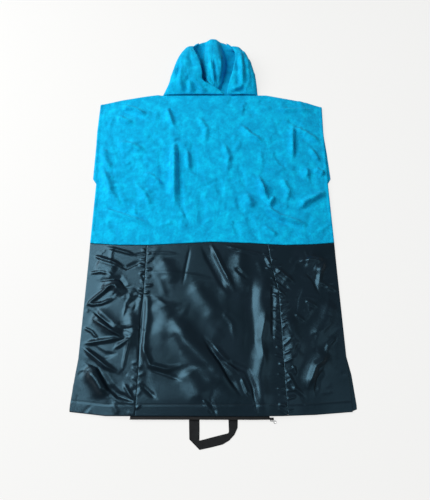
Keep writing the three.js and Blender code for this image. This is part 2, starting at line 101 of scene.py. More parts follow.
FRONT_LEFT = Edge(((-20, -405), (80, -402), (120, -395), (400, -395), (740, -396), (760, -405),
                   (950, -412), (1080, -410)))
FRONT_RIGHT = Edge(((-20, 404), (80, 404), (120, 402), (400, 400), (740, 398), (760, 400), (950, 400),
                    (1080, 404)))
BACK_LEFT = Edge(((-20, -405), (25, -406), (110, -400), (165, -395), (400, -395), (740, -396),
                  (760, -410), (860, -411), (950, -412), (1080, -410)))
BACK_RIGHT = Edge(((-20, 415), (25, 418), (110, 412), (165, 402), (400, 400), (740, 398), (760, 410),
                   (860, 406), (950, 400), (1080, 404)))
SHOULDER = Edge(((-420, 1065), (-335, 1085), (-245, 1103), (-200, 1110), (-185, NECKLINE),
                 (200, NECKLINE), (215, 1105), (260, 1095), (350, 1075), (420, 1050)))
WAIST_SEAM = Edge(((-395, WAIST), (-300, WAIST - 7), (-200, WAIST - 7), (0, WAIST + 4), (125, WAIST),
                   (235, WAIST - 7), (320, WAIST - 5), (400, WAIST + 2)))
FRONT_HEM = Edge(((-405, 8), (-300, -3), (120, -4), (200, -3), (295, 0), (405, 8), (420, 10)))
BACK_HEM = Edge(((-405, 10), (-300, 3), (120, 2), (200, 3), (295, 4), (405, 10), (420, 16)))
SEAM_LEFT = Edge(((-20, -216), (150, -215), (270, -217), (360, -212), (435, -211), (530, -210)))
SEAM_RIGHT = Edge(((-20, 218), (150, 214), (270, 212), (360, 210), (435, 194), (530, 180)))


# ------------------------------------------------------------------ creases

def smooth(value: Array, low: float, high: float) -> Array:
    """A soft step from 0 at `low` to 1 at `high`."""
    t = np.clip((value - low) / (high - low), 0, 1)
    return t * t * (3 - 2 * t)


@dataclass(frozen=True)
class Crease:
    """One fold line: a ridge if its height is positive, a trough if negative."""

    profile: Profile
    width: float
    height: float
    path: tuple[tuple[float, float], ...]

    def lift(self, x: Array, y: Array) -> Array:
        """Height that this crease adds.

        Args:
            x: Across the garment.
            y: Along the garment.

        Returns:
            The height at each point.
        """
        best = np.full(x.shape, np.inf)
        side = np.zeros(x.shape)
        share = np.zeros(x.shape)
        lengths = [math.dist(a, b) for a, b in zip(self.path, self.path[1:])]
        done = 0.0
        for (a, b), length in zip(zip(self.path, self.path[1:]), lengths):
            ux, uy = (b[0] - a[0]) / length, (b[1] - a[1]) / length
            dx, dy = x - a[0], y - a[1]
            t = np.clip(dx * ux + dy * uy, 0, length)
            away = np.hypot(dx - t * ux, dy - t * uy)
            nearer = away < best
            best = np.where(nearer, away, best)
            side = np.where(nearer, dx * uy - dy * ux, side)
            share = np.where(nearer, (done + t) / sum(lengths), share)
            done += length
        fade = smooth(share, 0, 0.22) * (1 - smooth(share, 0.72, 1))
        width = self.width * (0.65 + 0.35 * fade)
        if self.profile is Profile.ROLL:
            across = np.exp(-((best / width) ** 2))
        else:
            sharp = np.where((self.profile is Profile.KNIFE) & (side > 0), 0.4, 1.0) * width
            d = np.clip(best / sharp, 0, 1)
            across = (1 - d) ** 1.35
        return self.height * (0.15 + 0.85 * fade) * across * (best < 4 * self.width)


def crease_table(*rows: tuple) -> tuple[Crease, ...]:
    """The creases of a table, each row a profile, a width, a height and the points of the line."""
    return tuple(Crease(profile, width, height, tuple(path)) for profile, width, height, *path in rows)


ROLL, TENT, KNIFE = Profile.ROLL, Profile.TENT, Profile.KNIFE

TERRY_CREASES = crease_table(
    # left of the centre line
    (ROLL, 12, 12, (-135, 910), (-130, 800), (-125, 660)),
    (KNIFE, 15, -7, (-120, 900), (-112, 760), (-105, 660), (-75, 590)),
    (ROLL, 12, -5, (-155, 905), (-150, 760)),
    (ROLL, 13, 9, (-380, 800), (-340, 710), (-270, 650)),
    (ROLL, 9, -7, (-345, 725), (-300, 670), (-245, 640)),
    (ROLL, 9, -5, (-355, 930), (-335, 885), (-315, 835)),
    (ROLL, 11, 7, (-335, 900), (-285, 890), (-235, 865)),
    (ROLL, 10, 8, (-330, 1055), (-280, 1040), (-235, 1015)),
    (ROLL, 9, -6, (-330, 1038), (-280, 1022), (-245, 1000)),
    (ROLL, 10, 6, (-345, 1010), (-285, 980)),
    (ROLL, 9, -5, (-225, 940), (-165, 880)),
    (ROLL, 8, 6, (-235, 775), (-210, 770), (-165, 730)),
    (ROLL, 12, -6, (-180, 880), (-165, 790), (-160, 715)),
    (ROLL, 6, -4, (-370, 655), (-280, 630), (-190, 595)),
    (ROLL, 9, 5, (-370, 645), (-285, 615), (-200, 580)),
    (ROLL, 8, -5, (-375, 640), (-350, 590)),
    (ROLL, 7, -5, (-335, 600), (-310, 550)),
    (ROLL, 10, -5, (-70, 900), (-60, 795), (-45, 770)),
    (ROLL, 9, 6, (-88, 870), (-78, 790)),
    (ROLL, 8, 7, (-165, 1050), (-140, 970)),
    (ROLL, 7, -6, (-152, 1050), (-130, 1005)),
    (ROLL, 12, 6, (-385, 880), (-370, 830), (-350, 790)),
    (ROLL, 10, 5, (-260, 735), (-225, 700), (-205, 650)),
    (ROLL, 10, -4, (-40, 700), (-30, 640), (-35, 580)),
    (ROLL, 9, 4, (-50, 1010), (-20, 960), (-25, 900)),
    # right of the centre line
    (ROLL, 9, 7, (295, 965), (340, 935), (385, 905)),
    (ROLL, 8, -6, (290, 950), (330, 920), (375, 890)),
    (ROLL, 9, 7, (100, 975), (135, 935), (185, 900)),
    (ROLL, 9, -5, (110, 1040), (165, 1025)),
    (ROLL, 8, 6, (240, 1040), (300, 1040), (365, 1040)),
    (ROLL, 8, -6, (275, 1000), (325, 975)),
    (ROLL, 8, -6, (220, 865), (255, 800)),
    (ROLL, 10, 8, (290, 975), (285, 900), (280, 835)),
    (ROLL, 7, -6, (303, 960), (298, 900), (295, 845)),
    (ROLL, 8, 6, (345, 880), (375, 825)),
    (ROLL, 8, -6, (290, 810), (305, 760)),
    (ROLL, 7, 6, (325, 800), (330, 765)),
    (ROLL, 7, -6, (345, 785), (350, 730)),
    (ROLL, 8, 7, (355, 795), (390, 775)),
    (ROLL, 9, 8, (160, 765), (172, 710), (190, 690)),
    (ROLL, 8, -6, (95, 810), (115, 725)),
    (ROLL, 8, 8, (170, 740), (178, 695), (192, 665)),
    (ROLL, 8, 7, (210, 690), (192, 655)),
    (ROLL, 8, -6, (205, 700), (190, 720)),
    (ROLL, 12, 8, (290, 650), (335, 680), (390, 710)),
    (ROLL, 8, -6, (300, 640), (345, 665), (390, 690)),
    (ROLL, 8, -6, (170, 640), (215, 600), (310, 570)),
    (ROLL, 9, 7, (175, 655), (225, 615), (310, 585)),
    (ROLL, 7, 5, (170, 580), (215, 545)),
    (ROLL, 8, -7, (120, 625), (138, 565), (155, 530)),
    (ROLL, 8, -5, (85, 685), (105, 625)),
    (ROLL, 8, -5, (75, 600), (90, 545)),
    (ROLL, 14, 7, (115, 700), (135, 645)),
    (ROLL, 10, 5, (40, 900), (60, 840), (50, 780)),
    (ROLL, 10, -5, (20, 760), (35, 690)),
    (ROLL, 10, 5, (240, 760), (260, 710), (250, 670)),
)

COATED_CREASES = crease_table(
    # left panel
    (TENT, 10, 7, (-380, 480), (-350, 468), (-310, 455), (-275, 435)),
    (TENT, 9, 5, (-340, 508), (-270, 488), (-245, 478)),
    (KNIFE, 14, -5, (-300, 445), (-270, 435), (-220, 460)),
    (KNIFE, 16, -7, (-355, 395), (-290, 400), (-262, 362)),
    (TENT, 14, 7, (-350, 372), (-300, 378), (-285, 350)),
    (TENT, 10, 8, (-390, 315), (-340, 358), (-305, 385)),
    (TENT, 9, 6, (-390, 318), (-340, 322), (-300, 340)),
    (KNIFE, 15, -8, (-375, 308), (-330, 272), (-290, 238)),
    (TENT, 14, -5, (-265, 310), (-222, 348)),
    (KNIFE, 17, 10, (-360, 272), (-310, 243), (-262, 215)),
    (TENT, 11, 7, (-385, 200), (-315, 210), (-265, 218)),
    (TENT, 13, -6, (-372, 196), (-315, 165), (-285, 170)),
    (TENT, 9, 5, (-290, 185), (-240, 220)),
    (TENT, 7, 4, (-245, 218), (-255, 170), (-260, 125)),
    (TENT, 12, 8, (-385, 190), (-310, 135), (-272, 116)),
    (KNIFE, 19, -10, (-385, 155), (-335, 130), (-295, 72), (-268, 50), (-222, 34)),
    (ROLL, 15, 9, (-362, 122), (-330, 92), (-300, 50)),
    (TENT, 9, 4, (-255, 87), (-220, 35)),
    (TENT, 9, 4, (-392, 420), (-352, 425), (-318, 416)),
    (TENT, 8, 4, (-392, 250), (-362, 236), (-340, 212)),
    (ROLL, 26, 9, (-362, 300), (-318, 258), (-270, 225)),
    (ROLL, 26, 9, (-366, 140), (-332, 100), (-300, 45)),
    (ROLL, 22, 8, (-340, 412), (-300, 384), (-275, 345)),
    (ROLL, 20, 6, (-372, 455), (-330, 440), (-300, 425)),
    (ROLL, 18, 6, (-250, 300), (-240, 240), (-248, 180)),
    # the facing that stands open beside the left seam
    (ROLL, 9, 3, (-199, 356), (-196, 270), (-203, 200)),
    (ROLL, 8, 3, (-202, 230), (-198, 180), (-204, 140)),
    (ROLL, 6, -6, (-210, 356), (-212, 250), (-213, 140)),
    # centre panel
    (TENT, 7, 2, (-205, 488), (-140, 488), (-105, 484)),
    (TENT, 9, 4, (45, 512), (110, 494), (175, 480)),
    (TENT, 7, -2, (-70, 505), (-80, 450), (-90, 385)),
    (TENT, 12, 2, (-205, 424), (-100, 419), (8, 402)),
    (KNIFE, 26, -6, (-28, 500), (10, 430), (45, 362)),
    (TENT, 13, 8, (0, 514), (35, 435), (70, 366)),
    (TENT, 10, -4, (75, 440), (95, 418), (115, 400)),
    (ROLL, 26, 7, (174, 412), (156, 340), (168, 260), (146, 190)),
    (TENT, 20, 6, (168, 300), (150, 215), (158, 140)),
    (ROLL, 20, 8, (160, 190), (142, 110), (152, 5)),
    (ROLL, 16, -5, (130, 400), (118, 310), (124, 230), (108, 150)),
    (KNIFE, 14, -6, (192, 400), (188, 320), (182, 200)),
    (ROLL, 30, 15, (-125, 285), (-70, 205), (0, 135), (36, 94), (72, 44)),
    (ROLL, 28, 5, (-165, 335), (-140, 270), (-150, 205)),
    (ROLL, 24, 5, (-60, 395), (-20, 330), (30, 270)),
    (ROLL, 22, 5, (-160, 470), (-130, 420), (-125, 380)),
    (ROLL, 20, 5, (96, 500), (90, 440), (104, 380)),
    (ROLL, 26, 7, (-80, 130), (-40, 70), (-20, 30)),
    (KNIFE, 17, -10, (-25, 218), (0, 178), (25, 145), (52, 100), (82, 55)),
    (KNIFE, 15, -8, (33, 152), (70, 134), (100, 120), (120, 75), (128, 10)),
    (TENT, 13, 6, (5, 196), (45, 150), (85, 106)),
    (TENT, 9, 5, (88, 103), (98, 76), (110, 48)),
    (TENT, 14, 7, (-212, 204), (-180, 138), (-130, 125), (-90, 136)),
    (KNIFE, 13, -5, (-182, 124), (-140, 112), (-90, 94)),
    (TENT, 11, -5, (-204, 84), (-180, 62), (-158, 44)),
    (TENT, 12, 2, (-180, 345), (-140, 318), (-96, 322)),
    (TENT, 12, 2, (30, 300), (62, 262), (70, 214)),
    (TENT, 8, 4, (-24, 44), (-10, 22), (0, 2)),
    (TENT, 8, -4, (-8, 44), (6, 20), (14, 0)),
    # right panel
    (ROLL, 22, 8, (232, 300), (250, 200), (232, 110)),
    (ROLL, 22, 7, (300, 470), (335, 452), (352, 415)),
    (ROLL, 22, 7, (372, 340), (352, 270), (300, 200)),
    (ROLL, 24, 8, (350, 180), (305, 130), (276, 60)),
    (TENT, 13, 8, (205, 438), (230, 414), (258, 390)),
    (KNIFE, 13, -5, (190, 410), (214, 388), (244, 366)),
    (TENT, 9, 5, (174, 476), (185, 452), (194, 432)),
    (TENT, 10, 5, (204, 368), (230, 344)),
    (TENT, 14, 6, (275, 458), (320, 466), (365, 460)),
    (TENT, 13, 6, (364, 460), (346, 430), (334, 366)),
    (KNIFE, 13, -5, (300, 422), (320, 395), (336, 354)),
    (TENT, 10, 5, (338, 393), (366, 376), (396, 362)),
    (TENT, 9, 4, (290, 333), (328, 311)),
    (TENT, 9, 4, (256, 291), (284, 266)),
    (TENT, 10, -3, (266, 204), (252, 180), (242, 156)),
    (TENT, 9, 4, (240, 137), (249, 108)),
    (TENT, 14, 8, (344, 163), (308, 137), (280, 75)),
    (KNIFE, 14, -5, (330, 128), (308, 96), (298, 56)),
    (TENT, 11, 5, (220, 122), (245, 72), (272, 46)),
    (TENT, 10, 4, (380, 220), (350, 196), (338, 168)),
)


@dataclass(frozen=True)
class Puckers:
    """Short ridges that a seam's stitching draws up on both of its sides."""

    seam: Edge
    span: tuple[float, float]
    pitch: float
    reach: float
    height: float
    seed: int

    def creases(self) -> list[Crease]:
        """The puckers as creases, each of its own length, slant and height."""
        rng = np.random.default_rng(self.seed)
        found = []
        y = self.span[0]
        while y < self.span[1]:
            x = float(self.seam(y))
            out = 1 if len(found) % 2 else -1
            reach = self.reach * rng.uniform(0.5, 1.3)
            slant = rng.uniform(-0.2, 0.9) * reach
            start = (x + out * 1.0, y)
            tip = (x + out * reach, y + slant)
            found.append(Crease(TENT, rng.uniform(5, 9), self.height * rng.uniform(0.5, 1.4), (start, tip)))
            y += self.pitch * rng.uniform(0.6, 1.4)
        return found


@dataclass(frozen=True)
class Crumple:
    """Small uneven creases scattered over a panel."""

    low: tuple[float, float]
    high: tuple[float, float]
    count: int
    length: tuple[float, float]
    width: tuple[float, float]
    height: float
    profile: Profile
    seed: int

    def creases(self) -> list[Crease]:
        """The scattered creases, bent once in the middle."""
        rng = np.random.default_rng(self.seed)
        found = []
        for _ in range(self.count):
            x, y = rng.uniform(self.low, self.high)
            angle = rng.uniform(0, math.tau)
            bend = rng.uniform(-0.6, 0.6)
            half = rng.uniform(*self.length) / 2
            path = ((x - half * math.cos(angle), y - half * math.sin(angle)), (x, y),
                    (x + half * math.cos(angle + bend), y + half * math.sin(angle + bend)))
            height = self.height * rng.uniform(0.4, 1.0) * rng.choice((-1, 1))
            found.append(Crease(self.profile, rng.uniform(*self.width), height, path))
        return found


SEAM_PUCKERS = (
    Puckers(SEAM_LEFT, (345, 512), 13, 22, 3.0, 3),
    Puckers(SEAM_LEFT, (0, 150), 15, 18, 2.2, 4),
    Puckers(SEAM_RIGHT, (0, 510), 13, 26, 3.2, 5),
)
SCATTER = (
    Crumple((-400, 530), (400, 1100), 110, (25, 80), (5, 10), 2.2, ROLL, 11),
    Crumple((-400, 0), (-215, 515), 40, (25, 80), (6, 12), 2.2, TENT, 12),
    Crumple((-215, 0), (215, 515), 40, (40, 120), (9, 18), 1.3, ROLL, 13),
    Crumple((215, 0), (400, 515), 34, (30, 90), (8, 14), 1.6, TENT, 14),
)


# ------------------------------------------------------------------ the front's height

@dataclass(frozen=True)
class FrontLayer:
    """Height of the front's underside above the surface, on the form of the CAD panels."""

    loft: float = 3.5
    loft_reach: float = 90.0
    hem_rise: float = 4.7
    hem_level: float = 35.0
    hem_run: float = 100.0
    hem_fade: float = 60.0
    terry_relief: float = 1.7  # how much higher the thick cloth's folds stand than the table says

    def underside(self, x: Array, y: Array) -> Array:
        """Height of the cloth's lower face at each point."""
        side = np.minimum(x - FRONT_LEFT(y), FRONT_RIGHT(y) - x)
        inside = smooth(side, 0, self.loft_reach)
        near_side = smooth(side, 0, 14)
        creases = [*TERRY_CREASES, *COATED_CREASES]
        creases += [c for group in (*SEAM_PUCKERS, *SCATTER) for c in group.creases()]
        folds = np.zeros(x.shape)
        box = (x.min() - 60, x.max() + 60, y.min() - 60, y.max() + 60)
        for crease in creases:
            xs, ys = zip(*crease.path)
            if max(xs) > box[0] and min(xs) < box[1] and max(ys) > box[2] and min(ys) < box[3]:
                upper = min(ys) > WAIST - 4
                lower = max(ys) < WAIST + 4
                here = (y > WAIST_SEAM(x)) if upper else (y <= WAIST_SEAM(x)) if lower else True
                folds += crease.lift(x, y) * here * (self.terry_relief if upper else 1)
        folds *= smooth(np.abs(y - WAIST_SEAM(x)), 0, 16)
        from_end = np.maximum(ZIP_SPAN[0] - x, x - ZIP_SPAN[1])
        zip_here = 1 - smooth(from_end, self.hem_level, self.hem_level + self.hem_fade)
        hem = self.hem_rise * zip_here * (1 - smooth(y, self.hem_level, self.hem_run))
        rest = (COATED + SEAM_GAP) + (TERRY - COATED) * smooth(y, WAIST - 60, WAIST - 12)
        free = inside * self.loft + near_side * folds
        return rest + self.soft_floor(hem + free)

    @staticmethod
    def soft_floor(height: Array) -> Array:
        """Troughs flatten out where they reach the layer below."""
        return np.where(height > 2, height, 2 * np.exp((np.minimum(height, 2) - 2) / 2))


FRONT = FrontLayer()


# ------------------------------------------------------------------ meshes

def mesh_object(name: str, points: Array, faces: list, material: bpy.types.Material) -> bpy.types.Object:
    """A mesh object in the row's frame from points in the garment's frame.

    Args:
        name: The piece's name.
        points: Rows of x, y and z in millimetres.
        faces: Tuples of point numbers, turned outwards.
        material: The piece's finish.

    Returns:
        The linked object.
    """
    mesh = bpy.data.meshes.new(name)
    mesh.from_pydata(in_row_frame(points).tolist(), [], faces)
    mesh.polygons.foreach_set("use_smooth", [True] * len(mesh.polygons))
    mesh.materials.append(material)
    mesh.update()
    made = bpy.data.objects.new(name, mesh)
    bpy.context.scene.collection.objects.link(made)
    return made


def shell(outer: Array, inner: Array) -> tuple[Array, list]:
    """A closed wall between two grids of points.

    Args:
        outer: Grid (rows, columns, 3) of the face that looks outwards.
        inner: The other face, point for point.

    Returns:
        The points, and the faces turned outwards.
    """
    rows, columns = outer.shape[:2]
    count = rows * columns
    grid = np.arange(count).reshape(rows, columns)
    a, b, c, d = grid[:-1, :-1], grid[:-1, 1:], grid[1:, 1:], grid[1:, :-1]
    top = np.stack([a, b, c, d], -1).reshape(-1, 4)
    low = np.stack([a, d, c, b], -1).reshape(-1, 4) + count
    ring = np.concatenate([grid[0], grid[1:, -1], grid[-1, -2::-1], grid[-2:0:-1, 0]])
    after = np.roll(ring, -1)
    rim = np.stack([ring, ring + count, after + count, after], -1)
    points = np.concatenate([outer.reshape(-1, 3), inner.reshape(-1, 3)])
    return points, np.concatenate([top, low, rim]).tolist()


def tube_faces(rings: int, size: int) -> list[tuple[int, ...]]:
    """The outward faces of a closed tube.

    Args:
        rings: How many rings of points it has.
        size: Points in each ring.

    Returns:
        The side faces, ring after ring, and then the two ends.
    """
    faces = []
    for i in range(rings - 1):
        for k in range(size):
            after = (k + 1) % size
            faces.append((i * size + k, i * size + after, (i + 1) * size + after, (i + 1) * size + k))
    faces.append(tuple(range(size))[::-1])
    faces.append(tuple((rings - 1) * size + k for k in range(size)))
    return faces


def in_row_frame(points: Array) -> Array:
    """Points of the garment's frame, in millimetres, as metres in the row's frame."""
    return (np.asarray(points, dtype=float) - (*CENTRE, 0)) * MM


def rounded(distance: Array, radius: float, least: float) -> Array:
    """A rounded border's height, as a share of its full height.

    Args:
        distance: How far each point is from the border.
        radius: Where the full height is reached.
        least: The square of the share at the border itself.

    Returns:
        The share at each point.
    """
    return np.sqrt(np.clip(1 - (1 - np.clip(distance / radius, 0, 1)) ** 2, least, 1))


def hem_relief(inside: Array, depth: float, swell: float, groove: float) -> Array:
    """What a folded hem adds to a wall.

    Args:
        inside: How far each point is from the border.
        depth: How deep the hem is.
        swell: What the folded cloth adds.
        groove: What its stitching takes away.

    Returns:
        The change at each point.
    """
    stitched = np.exp(-(((inside - depth) / GROOVE_WIDTH) ** 2))
    return smooth(depth - inside, 0, HEM_STEP) * swell - stitched * groove


@dataclass
class Panel:
    """A flat-lying panel of cloth between four edges, with rounded and hemmed borders."""

    name: str
    cloth: Cloth
    left: Edge
    right: Edge
    bottom: Edge
    top: Edge
    wall: float
    cell: float
    front: bool = True
    hems: dict[str, float] = field(default_factory=dict)  # side: depth of its folded hem
    hem_swell: float = 1.2
    hem_groove: float = 0.5
    border_steps: tuple[float, float] = (0.12, 0.4)  # the two close rows, in shares of a cell
    flat: tuple[float, float] = (0.4, 0.5)
    rests_on: tuple[str, ...] = ()

    def grid(self) -> tuple[Array, Array]:
        """The panel's points in plan, in rows from its bottom edge to its top one."""
        middle = float(self.left(WAIST) + self.right(WAIST)) / 2
        low, high = float(self.bottom(middle)), float(self.top(middle))
        rows = int((high - low) / self.cell)
        columns = int(float(self.right(WAIST) - self.left(WAIST)) / self.cell)
        u, v = np.meshgrid(self.spread(columns), self.spread(rows))
        y = low + (high - low) * v
        for _ in range(3):
            x = self.left(y) + (self.right(y) - self.left(y)) * u
            y = self.bottom(x) + (self.top(x) - self.bottom(x)) * v
        return x, y

    def spread(self, count: int) -> Array:
        """Even shares from 0 to 1, with two close rows at each end for the rounded border."""
        step = 1 / count
        near, far = (share * step for share in self.border_steps)
        cells = np.linspace(step, 1 - step, count - 1)
        return np.concatenate([[0, near, far], cells, [1 - far, 1 - near, 1]])

    def thickness(self, x: Array, y: Array) -> Array:
        """Wall at each point: rounded at the borders and swollen at the hems."""
        away = {"left": x - self.left(y), "right": self.right(y) - x,
                "bottom": y - self.bottom(x), "top": self.top(x) - y}
        wall = np.full(x.shape, self.wall)
        for side, depth in self.hems.items():
            wall += hem_relief(away[side], depth, self.hem_swell, self.hem_groove)
        nearest = np.minimum.reduce(list(away.values()))
        return wall * (0.25 + 0.75 * rounded(nearest, self.wall, 0.04))

    def lift(self, x: Array, y: Array) -> Array:
        """Height of the panel's lower face."""
        if self.front:
            return FRONT.underside(x, y)
        scatter = Crumple((-400, 0), (400, 1100), 110, (60, 200), (6, 12), 1.3, ROLL, 21)
        folds = sum(crease.lift(x, y) for crease in scatter.creases())
        side = np.minimum(x - self.left(y), self.right(y) - x)
        return np.clip(folds, 0, 0.9) * smooth(side, 5, 25)

    def build(self, materials: dict[str, bpy.types.Material]) -> bpy.types.Object:
        """The finished panel, riding on the robe and standing for its CAD node."""
        x, y = self.grid()
        low = self.lift(x, y)
        wall = self.thickness(x, y)
        if not self.front:
            wall = np.minimum(wall, self.wall + 0.1) - low * 0.9
        outer = np.stack([x, y, low + wall], -1)
        inner = np.stack([x, y, low], -1)
        made = mesh_object(self.name + "_cloth", *shell(outer, inner), materials[self.cloth.value])
        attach(made, BODY)
        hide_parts(self.name)
        return made

    def surface(self, x: Array, y: Array) -> Array:
        """Points on the panel's upper face."""
        return np.stack([x, y, self.lift(x, y) + self.thickness(x, y)], -1)


# ------------------------------------------------------------------ hood

@dataclass(frozen=True)
class HoodRow:
    """One cross section of the hood, `up` from the neckline.

    On each side `edge` is the silhouette, `lobe` the height of the side that folds over, `rim`
    and `rim_z` the edge of the face opening. The crown seam stands up in the middle: `tongue`
    gives its two flanks, `seam` and `seam_z` its top, and `floor` the cloth beside it.
    """

    up: float
    edge: tuple[float, float]
    lobe: tuple[float, float]
    rim: tuple[float, float]
    rim_z: tuple[float, float]
    tongue: tuple[float, float]
    seam: float
    seam_z: float
    floor: float


HOOD_ROWS = (
    HoodRow(0, (-180, 168), (15, 15), (45, 55), (15, 15), (-14, 22), 4, 2, 0),
    HoodRow(20, (-170, 166), (28, 28), (18, 58), (26, 26), (-14, 24), 4, 6, 0),
    HoodRow(40, (-160, 164), (42, 40), (-28, 64), (38, 38), (-18, 30), 4, 20, 0),
    HoodRow(70, (-152, 160), (54, 52), (-36, 74), (50, 49), (-24, 36), 2, 36, 0),
    HoodRow(100, (-143, 153), (60, 57), (-42, 80), (56, 54), (-28, 42), 1, 45, 0),
    HoodRow(130, (-134, 143), (62, 58), (-50, 86), (58, 55), (-31, 46), 1, 50, 0),
    HoodRow(160, (-121, 131), (58, 54), (-62, 85), (55, 52), (-31, 45), 2, 52, 1),
    HoodRow(185, (-105, 113), (50, 48), (-70, 78), (48, 47), (-27, 38), 3, 51, 10),
    HoodRow(210, (-84, 92), (44, 44), (-64, 68), (42, 42), (-20, 30), 4, 49, 25),
    HoodRow(229, (-62, 66), (41, 42), (-50, 54), (40, 41), (-14, 22), 5, 47, 35),
)

LOBE_CREASES = crease_table(  # x across, distance from the neckline along; a positive height presses inwards
    (ROLL, 9, 7, (-132, 40), (-126, 70), (-118, 110)),
    (ROLL, 8, -7, (-112, 6), (-118, 50), (-112, 96)),
    (ROLL, 8, 7, (-96, 0), (-92, 30), (-84, 60)),
    (ROLL, 8, -8, (-74, 0), (-80, 24), (-92, 44)),
    (ROLL, 7, -8, (-22, 2), (-44, 22), (-62, 44)),
    (ROLL, 8, 6, (-40, 0), (-58, 20), (-74, 40)),
    (ROLL, 12, 5, (-70, 70), (-74, 110), (-86, 150)),
    (ROLL, 8, -8, (112, 30), (110, 90), (106, 160)),
    (ROLL, 8, 6, (126, 24), (126, 80), (116, 140)),
    (ROLL, 8, 7, (96, 20), (96, 70), (94, 130)),
    (ROLL, 7, -7, (74, 12), (92, 20), (118, 28)),
    (ROLL, 8, 7, (66, 4), (98, 8), (128, 14)),
    (ROLL, 9, 5, (146, 20), (146, 70), (136, 120)),
)

THROAT_CREASES = crease_table(  # the nested folds on the crown seam's tongue and below it
    (ROLL, 6, 6, (-6, 130), (0, 90), (8, 44)),
    (ROLL, 5, -8, (8, 128), (13, 84), (20, 40)),
    (ROLL, 6, 6, (30, 140), (32, 96), (24, 56)),
    (ROLL, 5, 7, (-20, 74), (-6, 44), (14, 30)),
    (ROLL, 5, -7, (-22, 58), (-8, 32), (12, 20)),
    (ROLL, 5, 7, (16, 30), (34, 42), (46, 78)),
    (ROLL, 5, -7, (20, 18), (40, 34), (54, 70)),
    (ROLL, 6, -5, (-18, 190), (-24, 150), (-16, 110)),
)


